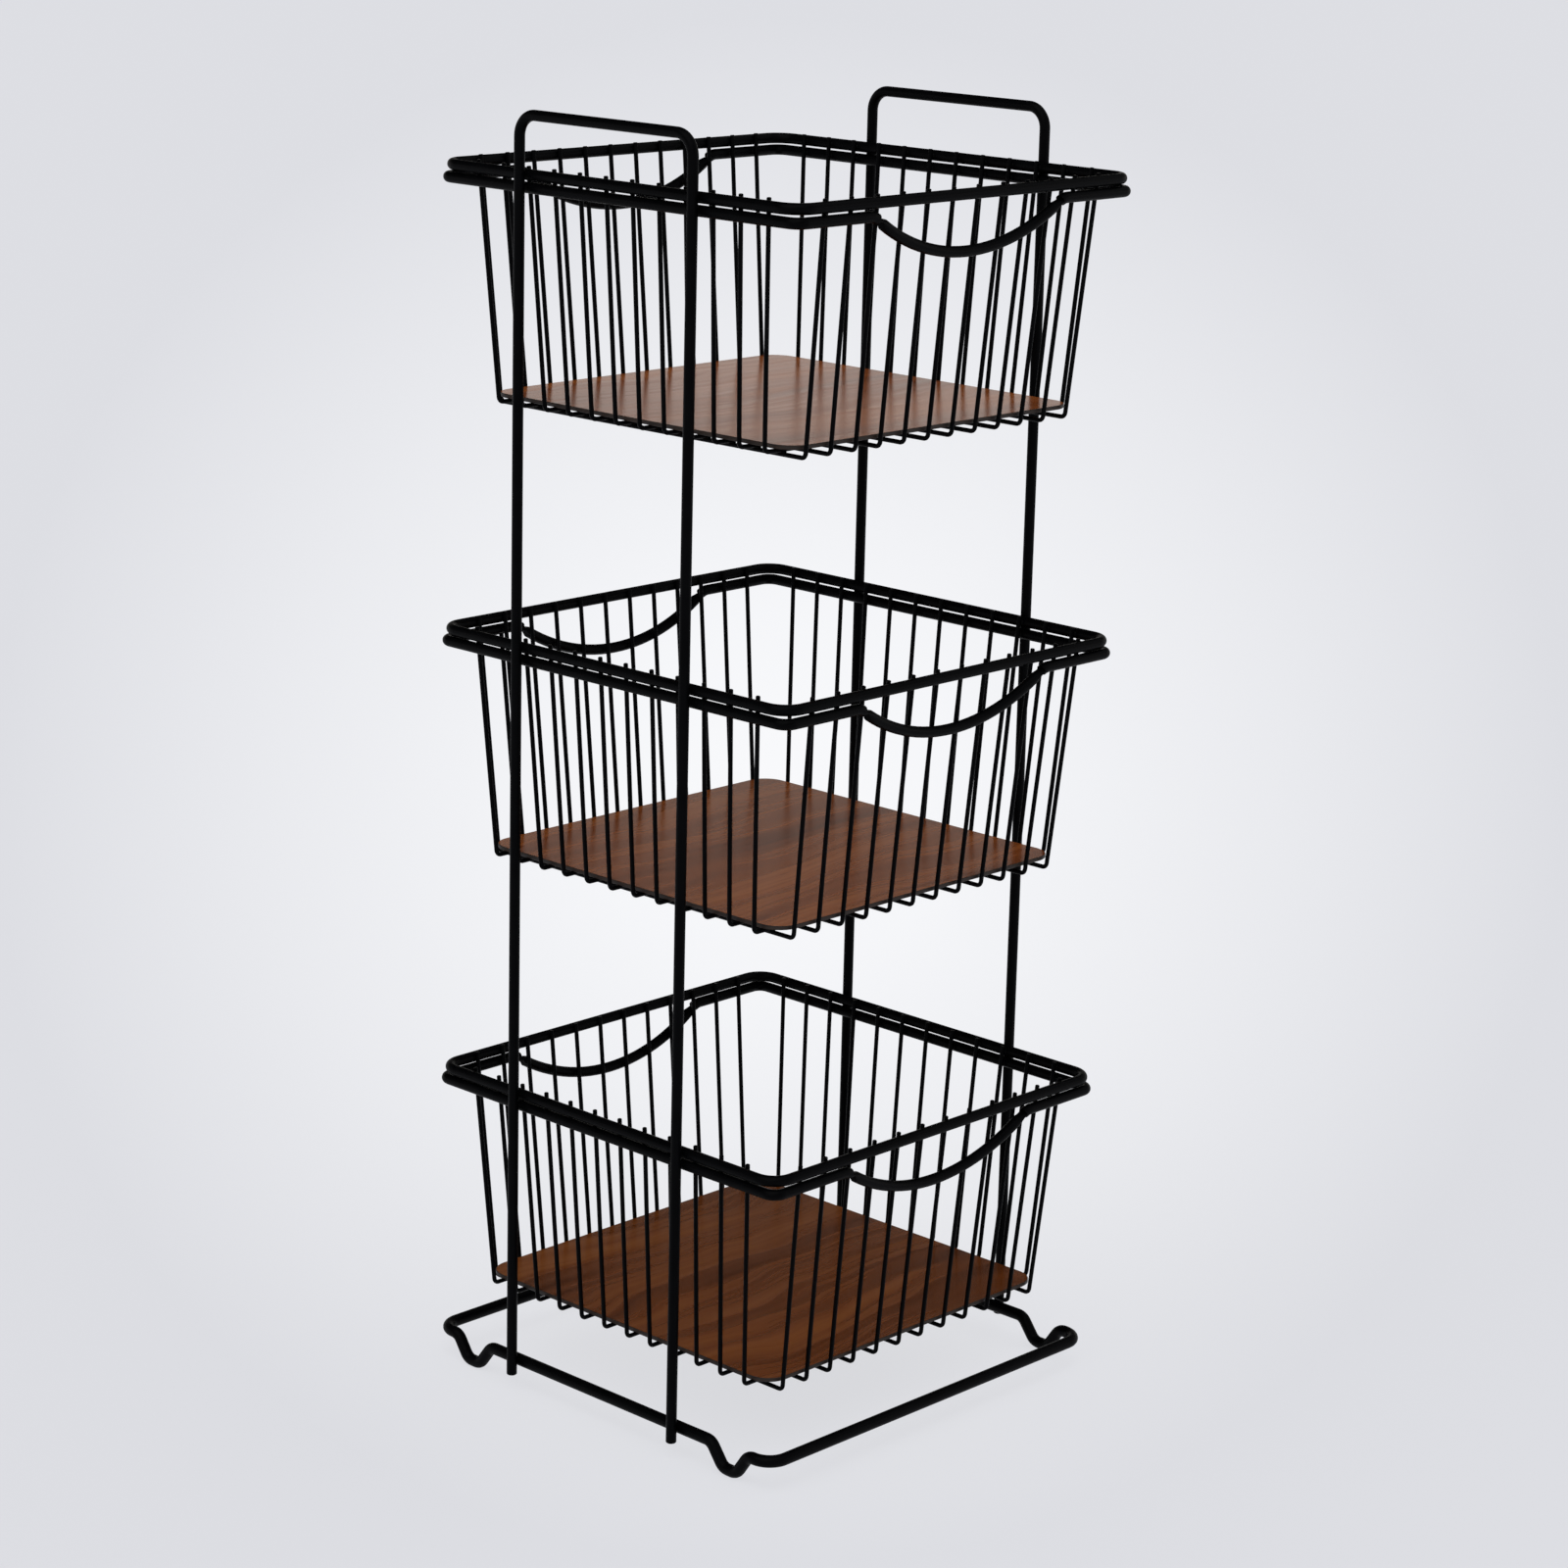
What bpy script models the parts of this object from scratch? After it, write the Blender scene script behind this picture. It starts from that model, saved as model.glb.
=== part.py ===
"""Three-tier onion rack: tapered wire baskets with loose boards, held by two hoops on a footed base ring.

The origin is on the floor under the middle of the rack. +X is across the rack, from hoop to hoop,
+Y runs from the front to the back and +Z is up. All lengths are in metres.
"""
import math

import bmesh
import bpy
from mathutils import Quaternion, Vector

# Fits
SEAT_GAP = 0.0003
WELD_SINK = 0.0006
CAP_WELD_DISTANCE = 0.000003

# Rods and wires
ROD_RADIUS = 0.0032
BASE_ROD_RADIUS = 0.0037
RIM_RADIUS = 0.0033
WIRE_RADIUS = 0.00135

# Baskets, at the centre lines of their rods
RIM_HALF_WIDTH = 0.1416
RIM_HALF_DEPTH = 0.1428
RIM_CORNER_RADIUS = 0.013
RIM_SLIT = 0.0009
LOWER_RIM_CORNER_RADIUS = 0.0068
BASKET_DEPTH = 0.1407
SIDE_WALL_TAPER = 0.0141
FRONT_WALL_TAPER = 0.0178
BOTTOM_RIM_HEIGHT = 0.1907
TIER_PITCH = 0.2775

# Dip of the lower rim in the front and the back of each basket
DIP_INSET = 0.0572
DIP_DEPTH = 0.0252
DIP_END_RADIUS = 0.012

# Wires of a basket
WIRE_COUNT = 12
RIM_WIRE_INSET = 0.0259
FLOOR_WIRE_INSET = 0.016
WIRE_BEND_RADIUS = 0.0032
WIRE_TIP_RISE = 0.0009

# Boards
BOARD_THICKNESS = 0.0025
BOARD_CORNER_RADIUS = 0.0145
BOARD_SIDE_CLEARANCE = 0.0025
BOARD_END_CLEARANCE = 0.00045

# Hoops
TOP_BAR_RISE = 0.0348
HOOP_CORNER_RADIUS = 0.0125
POST_INSET = 0.0728
POST_OVERHANG = 0.0037

# Base ring, whose rod bends down to a foot near each corner
BASE_HEIGHT = 0.0175
BASE_OVERHANG = 0.0017
BASE_CORNER_RADIUS = 0.0125
FOOT_OUTER_RUN = 0.0095
FOOT_INNER_RUN = 0.0105
FOOT_FLAT_LENGTH = 0.0016
FOOT_STRAIGHT = 0.0008
FOOT_BEND_RADIUS = 0.0075

# Sides round a rod and steps round a bend
ROD_RESOLUTION = 2
ROD_SIDES = 8
WIRE_RESOLUTION = 1
CORNER_STEPS = 5
DIP_STEPS = 8
SMALL_BEND_STEPS = 2
SMOOTH_ANGLE = math.radians(50)

# Distances from a rim's centre line to the centre line of a wire beside it
LOOSE_OFFSET = RIM_RADIUS + SEAT_GAP + WIRE_RADIUS
WELDED_OFFSET = RIM_RADIUS + WIRE_RADIUS - WELD_SINK

# Heights in a basket, down from the centre line of its upper rim
RIM_SPACING = 2 * RIM_RADIUS + RIM_SLIT
LONG_WIRE_FLOOR = -BASKET_DEPTH
CROSS_WIRE_FLOOR = LONG_WIRE_FLOOR + 2 * WIRE_RADIUS + SEAT_GAP
BOARD_UNDERSIDE = CROSS_WIRE_FLOOR + WIRE_RADIUS + SEAT_GAP
WIRE_TIP = RIM_RADIUS + WIRE_TIP_RISE

# Half sizes of a basket's floor, at the wires' centre lines
FLOOR_HALF_WIDTH = RIM_HALF_WIDTH - SIDE_WALL_TAPER
FLOOR_HALF_DEPTH = RIM_HALF_DEPTH - FRONT_WALL_TAPER

# Half sizes of a board, which clears the floor bends at its sides and the walls at its ends
BOARD_HALF_WIDTH = FLOOR_HALF_WIDTH - WIRE_BEND_RADIUS - BOARD_SIDE_CLEARANCE
BOARD_HALF_DEPTH = FLOOR_HALF_DEPTH - WIRE_RADIUS - BOARD_END_CLEARANCE

# Places of the hoops and the base ring
HOOP_X = RIM_HALF_WIDTH + RIM_RADIUS + SEAT_GAP + ROD_RADIUS
POST_Y = RIM_HALF_DEPTH - POST_INSET
TOP_BAR_HEIGHT = BOTTOM_RIM_HEIGHT + 2 * TIER_PITCH + TOP_BAR_RISE
POST_END_HEIGHT = BASE_HEIGHT - BASE_ROD_RADIUS - POST_OVERHANG
BASE_HALF_WIDTH = HOOP_X - ROD_RADIUS - SEAT_GAP - BASE_ROD_RADIUS
BASE_HALF_DEPTH = RIM_HALF_DEPTH + BASE_OVERHANG

# Colours
BLACK_COATING = (0.012, 0.012, 0.013, 1.0)
WALNUT = (0.105, 0.047, 0.024, 1.0)


def clear_scene():
    for item in list(bpy.data.objects):
        bpy.data.objects.remove(item, do_unlink=True)


def new_collection(name):
    collection = bpy.data.collections.new(name)
    bpy.context.scene.collection.children.link(collection)
    return collection


def new_material(name, colour, roughness, metallic):
    material = bpy.data.materials.new(name)
    material.use_nodes = True
    shader = material.node_tree.nodes["Principled BSDF"]
    shader.inputs["Base Color"].default_value = colour
    shader.inputs["Roughness"].default_value = roughness
    shader.inputs["Metallic"].default_value = metallic
    return material


def place_object(name, data, collection, parent=None, location=(0, 0, 0)):
    item = bpy.data.objects.new(name, data)
    item.parent = parent
    item.location = location
    collection.objects.link(item)
    return item


def bend_path(corners, cyclic=False):
    """Points of a path through corners, each a place, a bend radius and a number of steps."""
    points = []
    for index, (place, radius, steps) in enumerate(corners):
        is_end = not cyclic and index in (0, len(corners) - 1)
        if is_end or radius == 0:
            points.append(place)
            continue
        back = (corners[index - 1][0] - place).normalized()
        ahead = (corners[(index + 1) % len(corners)][0] - place).normalized()
        turn = math.pi - back.angle(ahead)
        centre = place + (back + ahead).normalized() * radius / math.cos(turn / 2)
        first_arm = place + back * radius * math.tan(turn / 2) - centre
        axis = ahead.cross(back)
        for step in range(steps + 1):
            points.append(centre + Quaternion(axis, turn * step / steps) @ first_arm)
    return points


def rounded_rectangle(half_width, half_depth, height, radius):
    signs = ((-1, -1), (1, -1), (1, 1), (-1, 1))
    return [(Vector((x * half_width, y * half_depth, height)), radius, CORNER_STEPS) for x, y in signs]


def rod_curve(name, paths, radius, resolution, material, cyclic=False):
    """One round rod along each path, closed at its ends."""
    curve = bpy.data.curves.new(name, "CURVE")
    curve.dimensions = "3D"
    curve.bevel_depth = radius
    curve.bevel_resolution = resolution
    curve.use_fill_caps = not cyclic
    curve.materials.append(material)
    for path in paths:
        spline = curve.splines.new("POLY")
        spline.points.add(len(path) - 1)
        for point, place in zip(spline.points, path):
            point.co = place.to_4d()
        spline.use_cyclic_u = cyclic
    return curve


def curve_mesh(curve, collection):
    """The curve as a closed mesh with its end caps welded on."""
    item = place_object(curve.name, curve, collection)
    evaluated = item.evaluated_get(bpy.context.evaluated_depsgraph_get())
    mesh = bpy.data.meshes.new_from_object(evaluated)
    bpy.data.objects.remove(item, do_unlink=True)
    editable = bmesh.new()
    editable.from_mesh(mesh)
    bmesh.ops.remove_doubles(editable, verts=editable.verts, dist=CAP_WELD_DISTANCE)
    editable.to_mesh(mesh)
    editable.free()
    mesh.shade_smooth()
    mesh.set_sharp_from_angle(angle=SMOOTH_ANGLE)
    return mesh


def reach_inside(outline, offset, inset):
    """How far +X a point at this Y offset can go and stay the inset away from a convex outline."""
    reaches = []
    for start, end in zip(outline, outline[1:] + outline[:1]):
        side = end - start
        normal = Vector((side.y, -side.x)).normalized()
        if normal.x > 0:
            limit = normal.dot(start.xy) - inset - normal.y * offset
            reaches.append(limit / normal.x)
    return min(reaches)


def wall_lean(rim_wire, floor_wire, floor_height):
    """Outward run of a wall for each metre of its height."""
    return (rim_wire - floor_wire) / -floor_height


def wire_path(rim_wire, rim_offset, floor_wire, floor_offset, floor_height):
    """U-shaped wire across a basket from tip to tip, whose two arms spread along Y toward the rim."""
    tip_wire = rim_wire + WIRE_TIP * wall_lean(rim_wire, floor_wire, floor_height)
    tip_offset = rim_offset + WIRE_TIP * wall_lean(rim_offset, floor_offset, floor_height)
    corners = [
        (Vector((-tip_wire, tip_offset, WIRE_TIP)), 0, 0),
        (Vector((-floor_wire, floor_offset, floor_height)), WIRE_BEND_RADIUS, SMALL_BEND_STEPS),
        (Vector((floor_wire, floor_offset, floor_height)), WIRE_BEND_RADIUS, SMALL_BEND_STEPS),
        (Vector((tip_wire, tip_offset, WIRE_TIP)), 0, 0),
    ]
    return bend_path(corners)


def wire_offsets(rim_half, floor_half):
    """Offsets of each wire at the rim and at the floor, where the wires stand closer together."""
    outer_at_rim = rim_half - RIM_WIRE_INSET
    outer_at_floor = floor_half - FLOOR_WIRE_INSET
    spread = [2 * index / (WIRE_COUNT - 1) - 1 for index in range(WIRE_COUNT)]
    return [(outer_at_rim * share, outer_at_floor * share) for share in spread]


def turned(points):
    """The same points with X and Y swapped, for pieces that run front to back."""
    return [Vector((point.y, point.x, point.z)) for point in points]


def upper_rim_path():
    corners = rounded_rectangle(RIM_HALF_WIDTH, RIM_HALF_DEPTH, 0, RIM_CORNER_RADIUS)
    return bend_path(corners, cyclic=True)


def lower_rim_path():
    """The lower rim lies against the outside of the walls, also where it dips."""
    side_lean = wall_lean(RIM_HALF_WIDTH - LOOSE_OFFSET, FLOOR_HALF_WIDTH, CROSS_WIRE_FLOOR)
    front_lean = wall_lean(RIM_HALF_DEPTH - WELDED_OFFSET, FLOOR_HALF_DEPTH, LONG_WIRE_FLOOR)
    side_offset = LOOSE_OFFSET * math.hypot(1, side_lean)
    front_offset = LOOSE_OFFSET * math.hypot(1, front_lean)
    half_width = RIM_HALF_WIDTH - LOOSE_OFFSET - RIM_SPACING * side_lean + side_offset

    def front_place(x, drop):
        depth = RIM_HALF_DEPTH - WELDED_OFFSET - (RIM_SPACING + drop) * front_lean + front_offset
        return Vector((x, -depth, -RIM_SPACING - drop))

    end_x = half_width - DIP_INSET
    arc_radius = (end_x ** 2 / DIP_DEPTH + DIP_DEPTH) / 2 - DIP_END_RADIUS
    slope = math.asin(end_x / (arc_radius + DIP_END_RADIUS))
    shoulder_x = end_x - DIP_END_RADIUS * math.tan(slope / 2)
    vertex_drop = shoulder_x * math.tan(slope)
    front_half = [
        (front_place(-half_width, 0), LOWER_RIM_CORNER_RADIUS, CORNER_STEPS),
        (front_place(-shoulder_x, 0), DIP_END_RADIUS, SMALL_BEND_STEPS),
        (front_place(0, vertex_drop), arc_radius, DIP_STEPS),
        (front_place(shoulder_x, 0), DIP_END_RADIUS, SMALL_BEND_STEPS),
        (front_place(half_width, 0), LOWER_RIM_CORNER_RADIUS, CORNER_STEPS),
    ]
    back_half = [(Vector((-place.x, -place.y, place.z)), *bend) for place, *bend in front_half]
    return bend_path(front_half + back_half, cyclic=True)


def cross_wire_paths():
    """Wires from hoop side to hoop side, the upper layer of a basket's floor."""
    outline = upper_rim_path()
    paths = []
    for rim_y, floor_y in wire_offsets(RIM_HALF_DEPTH, FLOOR_HALF_DEPTH):
        rim_wire = reach_inside(outline, rim_y, LOOSE_OFFSET)
        paths.append(wire_path(rim_wire, rim_y, FLOOR_HALF_WIDTH, floor_y, CROSS_WIRE_FLOOR))
    return paths


def long_wire_paths():
    """Wires from front to back, the lower layer, whose ends are welded inside the upper rim."""
    outline = turned(upper_rim_path())
    outline.reverse()
    paths = []
    for rim_x, floor_x in wire_offsets(RIM_HALF_WIDTH, FLOOR_HALF_WIDTH):
        rim_wire = reach_inside(outline, rim_x, WELDED_OFFSET)
        paths.append(turned(wire_path(rim_wire, rim_x, FLOOR_HALF_DEPTH, floor_x, LONG_WIRE_FLOOR)))
    return paths


def board_curve(material):
    curve = bpy.data.curves.new("board", "CURVE")
    curve.dimensions = "2D"
    curve.fill_mode = "BOTH"
    curve.extrude = BOARD_THICKNESS / 2
    curve.materials.append(material)
    corners = rounded_rectangle(BOARD_HALF_WIDTH, BOARD_HALF_DEPTH, 0, BOARD_CORNER_RADIUS)
    path = bend_path(corners, cyclic=True)
    spline = curve.splines.new("POLY")
    spline.points.add(len(path) - 1)
    for point, place in zip(spline.points, path):
        point.co = place.to_4d()
    spline.use_cyclic_u = True
    return curve


def hoop_curve(material):
    """Upside-down U in the YZ plane: two posts and the bar that joins them."""
    corners = [
        (Vector((0, -POST_Y, POST_END_HEIGHT)), 0, 0),
        (Vector((0, -POST_Y, TOP_BAR_HEIGHT)), HOOP_CORNER_RADIUS, CORNER_STEPS),
        (Vector((0, POST_Y, TOP_BAR_HEIGHT)), HOOP_CORNER_RADIUS, CORNER_STEPS),
        (Vector((0, POST_Y, POST_END_HEIGHT)), 0, 0),
    ]
    return rod_curve("hoop", [bend_path(corners)], ROD_RADIUS, ROD_RESOLUTION, material)


def base_curve(material):
    """Rounded rectangle of rod whose two hoop sides each bend down to two feet."""
    foot_height = BASE_ROD_RADIUS * math.cos(math.pi / ROD_SIDES)
    drop = BASE_HEIGHT - foot_height
    outer_bend = FOOT_BEND_RADIUS * math.tan(math.atan(drop / FOOT_OUTER_RUN) / 2)
    inner_bend = FOOT_BEND_RADIUS * math.tan(math.atan(drop / FOOT_INNER_RUN) / 2)
    foot_end_y = BASE_HALF_DEPTH - BASE_CORNER_RADIUS - FOOT_STRAIGHT - outer_bend
    foot_outer_y = foot_end_y - FOOT_OUTER_RUN
    flat_outer_y = foot_outer_y - outer_bend - FOOT_STRAIGHT
    flat_inner_y = flat_outer_y - FOOT_FLAT_LENGTH
    foot_inner_y = flat_inner_y - FOOT_STRAIGHT - inner_bend
    side_profile = [
        (foot_end_y, BASE_HEIGHT, FOOT_BEND_RADIUS),
        (foot_outer_y, foot_height, FOOT_BEND_RADIUS),
        (flat_outer_y, foot_height, 0),
        (flat_inner_y, foot_height, 0),
        (foot_inner_y, foot_height, FOOT_BEND_RADIUS),
        (foot_inner_y - FOOT_INNER_RUN, BASE_HEIGHT, FOOT_BEND_RADIUS),
    ]
    side_profile += [(-y, height, radius) for y, height, radius in reversed(side_profile)]
    ring = []
    for sign in (1, -1):
        x = sign * BASE_HALF_WIDTH
        ring.append((Vector((x, -sign * BASE_HALF_DEPTH, BASE_HEIGHT)), BASE_CORNER_RADIUS, CORNER_STEPS))
        for y, height, radius in side_profile:
            ring.append((Vector((x, -sign * y, height)), radius, SMALL_BEND_STEPS))
        ring.append((Vector((x, sign * BASE_HALF_DEPTH, BASE_HEIGHT)), BASE_CORNER_RADIUS, CORNER_STEPS))
    path = bend_path(ring, cyclic=True)
    curve = rod_curve("base", [path], BASE_ROD_RADIUS, ROD_RESOLUTION, material, True)
    curve.twist_mode = "Z_UP"
    for point in curve.splines[0].points:
        point.tilt = math.pi / ROD_SIDES
    return curve


def build_baskets(parts, cutters, coating, wood):
    rim_mesh = curve_mesh(
        rod_curve("upper_rim", [upper_rim_path()], RIM_RADIUS, ROD_RESOLUTION, coating, True), cutters)
    long_wire_mesh = curve_mesh(
        rod_curve("long_wires", long_wire_paths(), WIRE_RADIUS, WIRE_RESOLUTION, coating), cutters)
    lower_rim = rod_curve("lower_rim", [lower_rim_path()], RIM_RADIUS, ROD_RESOLUTION, coating, True)
    cross_wires = [rod_curve("cross_wire", [path], WIRE_RADIUS, WIRE_RESOLUTION, coating)
                   for path in cross_wire_paths()]
    board = board_curve(wood)
    for tier, tier_name in enumerate(("bottom", "middle", "top")):
        height = BOTTOM_RIM_HEIGHT + tier * TIER_PITCH
        basket = place_object(f"{tier_name}_basket", None, parts, location=(0, 0, height))
        long_wires = place_object(f"{tier_name}_long_wires_joined", long_wire_mesh, cutters, basket)
        long_wires.hide_render = True
        long_wires.display_type = "WIRE"
        rim = place_object(f"{tier_name}_upper_rim_and_long_wires", rim_mesh, parts, basket)
        weld = rim.modifiers.new("weld", "BOOLEAN")
        weld.operation = "UNION"
        weld.solver = "EXACT"
        weld.object = long_wires
        place_object(f"{tier_name}_lower_rim", lower_rim, parts, basket)
        for number, wire in enumerate(cross_wires, start=1):
            place_object(f"{tier_name}_cross_wire_{number:02d}", wire, parts, basket)
        board_middle = (0, 0, BOARD_UNDERSIDE + BOARD_THICKNESS / 2)
        place_object(f"{tier_name}_board", board, parts, basket, board_middle)


def build_rack():
    clear_scene()
    parts = new_collection("onion_rack")
    cutters = new_collection("cutters")
    coating = new_material("black_coating", BLACK_COATING, 0.38, 0.0)
    wood = new_material("walnut_board", WALNUT, 0.35, 0.0)
    place_object("base_ring", base_curve(coating), parts)
    hoop = hoop_curve(coating)
    place_object("left_hoop", hoop, parts, location=(-HOOP_X, 0, 0))
    place_object("right_hoop", hoop, parts, location=(HOOP_X, 0, 0))
    build_baskets(parts, cutters, coating, wood)
    bpy.context.view_layer.update()


build_rack()
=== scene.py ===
"""Looks of the three-tier onion rack: round rods and wires, weld spots, walnut boards, studio and camera.

All lengths are in metres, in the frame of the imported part: the origin is on the floor under the middle
of the rack, +X is across it, +Y runs from the front to the back and +Z is up.
"""

import math
import random

import bmesh
import bpy
from mathutils import Matrix, Quaternion, Vector


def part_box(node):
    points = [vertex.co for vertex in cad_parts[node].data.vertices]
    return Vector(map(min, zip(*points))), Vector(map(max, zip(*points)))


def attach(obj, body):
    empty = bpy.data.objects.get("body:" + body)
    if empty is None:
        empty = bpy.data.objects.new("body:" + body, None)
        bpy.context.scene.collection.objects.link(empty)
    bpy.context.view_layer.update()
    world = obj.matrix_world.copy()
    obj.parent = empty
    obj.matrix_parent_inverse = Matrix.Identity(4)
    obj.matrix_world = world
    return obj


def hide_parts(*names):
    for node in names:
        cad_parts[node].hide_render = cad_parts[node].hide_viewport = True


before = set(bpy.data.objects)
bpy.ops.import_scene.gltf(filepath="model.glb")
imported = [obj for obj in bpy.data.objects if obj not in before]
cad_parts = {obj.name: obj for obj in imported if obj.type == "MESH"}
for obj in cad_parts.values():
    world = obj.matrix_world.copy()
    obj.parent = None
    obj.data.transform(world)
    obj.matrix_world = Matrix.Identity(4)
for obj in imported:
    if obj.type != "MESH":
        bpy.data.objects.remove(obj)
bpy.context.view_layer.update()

# Sizes of the solids, repeated from the part's source
SEAT_GAP = 0.0003
WELD_SINK = 0.0006
ROD_RADIUS = 0.0032
BASE_ROD_RADIUS = 0.0037
RIM_RADIUS = 0.0033
WIRE_RADIUS = 0.00135
RIM_HALF_WIDTH = 0.1416
RIM_HALF_DEPTH = 0.1428
RIM_CORNER_RADIUS = 0.013
RIM_SLIT = 0.0009
LOWER_RIM_CORNER_RADIUS = 0.0068
BASKET_DEPTH = 0.1407
SIDE_WALL_TAPER = 0.0141
FRONT_WALL_TAPER = 0.0178
BOTTOM_RIM_HEIGHT = 0.1907
TIER_PITCH = 0.2775
DIP_INSET = 0.0572
DIP_DEPTH = 0.0252
DIP_END_RADIUS = 0.012
WIRE_COUNT = 12
RIM_WIRE_INSET = 0.0259
FLOOR_WIRE_INSET = 0.016
WIRE_BEND_RADIUS = 0.0032
WIRE_TIP_RISE = 0.0009
BOARD_THICKNESS = 0.0025
BOARD_CORNER_RADIUS = 0.0145
BOARD_SIDE_CLEARANCE = 0.0025
BOARD_END_CLEARANCE = 0.00045
TOP_BAR_RISE = 0.0348
HOOP_CORNER_RADIUS = 0.0125
POST_INSET = 0.0728
POST_OVERHANG = 0.0037
BASE_HEIGHT = 0.0175
BASE_OVERHANG = 0.0017
BASE_CORNER_RADIUS = 0.0125
FOOT_OUTER_RUN = 0.0095
FOOT_INNER_RUN = 0.0105
FOOT_FLAT_LENGTH = 0.0016
FOOT_STRAIGHT = 0.0008
FOOT_BEND_RADIUS = 0.0075

LOOSE_OFFSET = RIM_RADIUS + SEAT_GAP + WIRE_RADIUS
WELDED_OFFSET = RIM_RADIUS + WIRE_RADIUS - WELD_SINK
RIM_SPACING = 2 * RIM_RADIUS + RIM_SLIT
LONG_WIRE_FLOOR = -BASKET_DEPTH
CROSS_WIRE_FLOOR = LONG_WIRE_FLOOR + 2 * WIRE_RADIUS + SEAT_GAP
WIRE_TIP = RIM_RADIUS + WIRE_TIP_RISE
FLOOR_HALF_WIDTH = RIM_HALF_WIDTH - SIDE_WALL_TAPER
FLOOR_HALF_DEPTH = RIM_HALF_DEPTH - FRONT_WALL_TAPER
BOARD_HALF_WIDTH = FLOOR_HALF_WIDTH - WIRE_BEND_RADIUS - BOARD_SIDE_CLEARANCE
BOARD_HALF_DEPTH = FLOOR_HALF_DEPTH - WIRE_RADIUS - BOARD_END_CLEARANCE
HOOP_X = RIM_HALF_WIDTH + RIM_RADIUS + SEAT_GAP + ROD_RADIUS
POST_Y = RIM_HALF_DEPTH - POST_INSET
TOP_BAR_HEIGHT = BOTTOM_RIM_HEIGHT + 2 * TIER_PITCH + TOP_BAR_RISE
POST_END_HEIGHT = BASE_HEIGHT - BASE_ROD_RADIUS - POST_OVERHANG
BASE_HALF_WIDTH = HOOP_X - ROD_RADIUS - SEAT_GAP - BASE_ROD_RADIUS
BASE_HALF_DEPTH = RIM_HALF_DEPTH + BASE_OVERHANG
TIERS = ("bottom", "middle", "top")

# The round rod is a little fuller than the faceted one, so its front and back move in by the difference
BASE_DEPTH_TRIM = 0.0003

# Detail that only the looks have
HOOP_CHAMFER = 0.0004
WIRE_CHAMFER = 0.0003
BOARD_EDGE_SOFTNESS = 0.0003
RIM_WELD_HALF_SIZES = (0.0021, 0.0018, 0.0013)
CROSSING_WELD_HALF_SIZES = (0.0013, 0.0013, 0.0008)
WELD_OUTWARD_SHARE = 0.42
WELD_SIZE_RANGE = (0.88, 1.12)
WELD_BUMP_RANGE = (0.94, 1.06)
WELD_SEED = 7

# Fineness of the shapes, and the angles in degrees past which an edge is sharp
ROD_SIDES = 20
WIRE_SIDES = 12
BIG_BEND_STEPS = 14
DIP_STEPS = 28
SMALL_BEND_STEPS = 7
WELD_SUBDIVISIONS = 2
ROD_SHARP_ANGLE = 40
BOARD_SHARP_ANGLE = 25
WELD_SHARP_ANGLE = 180
LEAST_NORMAL_X = 1e-6

AXIS_X = Vector((1, 0, 0))
AXIS_Y = Vector((0, 1, 0))

# Black coating: its clouds shift tone and gloss a little, and its orange peel is a faint bump
BUMP_DISTANCE = 0.0001
COATING_SPECULAR = 0.035
COATING_CLOUD_SCALE = 60
COATING_CLOUD_DETAIL = 3
COATING_PEEL_SCALE = 1100
COATING_PEEL_DETAIL = 2
COATING_PEEL_ROUGHNESS = 0.6
COATING_PEEL_STRENGTH = 0.25
COATING_TONES = ((0.3, (0.0005, 0.0006, 0.0009)), (0.7, (0.0013, 0.0014, 0.0019)))
COATING_ROUGHNESS = (0.36, 0.46)

# Walnut: each scale is along the grain and across it
WALNUT_SPECULAR = 0.5
SWAY_SCALES = (6.0, 9.0, 1.0)
SWAY_DETAIL = 2.0
SWAY_WIDTH = 0.06
FLAME_SCALES = (3.2, 46.0)
STREAK_SCALES = (6.0, 210.0)
PORE_SCALES = (70.0, 1300.0)
FIGURE_DETAIL = 3.0
PORE_DETAIL = 2.0
STREAK_WEIGHT = 0.45
TONE_STOPS = (0.26, 0.47, 0.70)
PORE_LEVELS = (0.62, 0.76)
PORE_DEPTH = 0.22
PORE_TONE_SHARE = 0.4
PORE_BUMP_WEIGHT = -0.5
GRAIN_BUMP_STRENGTH = 0.04
WALNUT_ROUGHNESS = (0.21, 0.27)

# Each tier's board: where it is cut from the figure, its seed, and its dark, middle and light tones
# The tones differ between tiers as painted light and shade: the bottom board's are set darker and the
# middle and top boards' lighter, copies of one walnut
WALNUTS = {
    "bottom": ((0.31, 0.07, 0), 1.7, (0.066, 0.016, 0.0028), (0.128, 0.033, 0.0055), (0.188, 0.055, 0.010)),
    "middle": ((1.73, 0.64, 0), 4.1, (0.095, 0.022, 0.004), (0.178, 0.044, 0.008), (0.260, 0.074, 0.015)),
    "top": ((2.91, 1.37, 0), 7.9, (0.105, 0.025, 0.005), (0.185, 0.046, 0.009), (0.265, 0.076, 0.016)),
}

# Cut edge of the boards: its dark tones are painted shade
EDGE_SPECULAR = 0.35
EDGE_LAYER_SCALES = (60.0, 60.0, 1400.0)
EDGE_LAYER_DETAIL = 3.0
EDGE_TONES = ((0.3, (0.006, 0.003, 0.002)), (0.7, (0.022, 0.011, 0.006)))
EDGE_ROUGHNESS = (0.5, 0.65)

# Where a noise counts as low and as high
NOISE_LEVELS = (0.3, 0.7)
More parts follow.
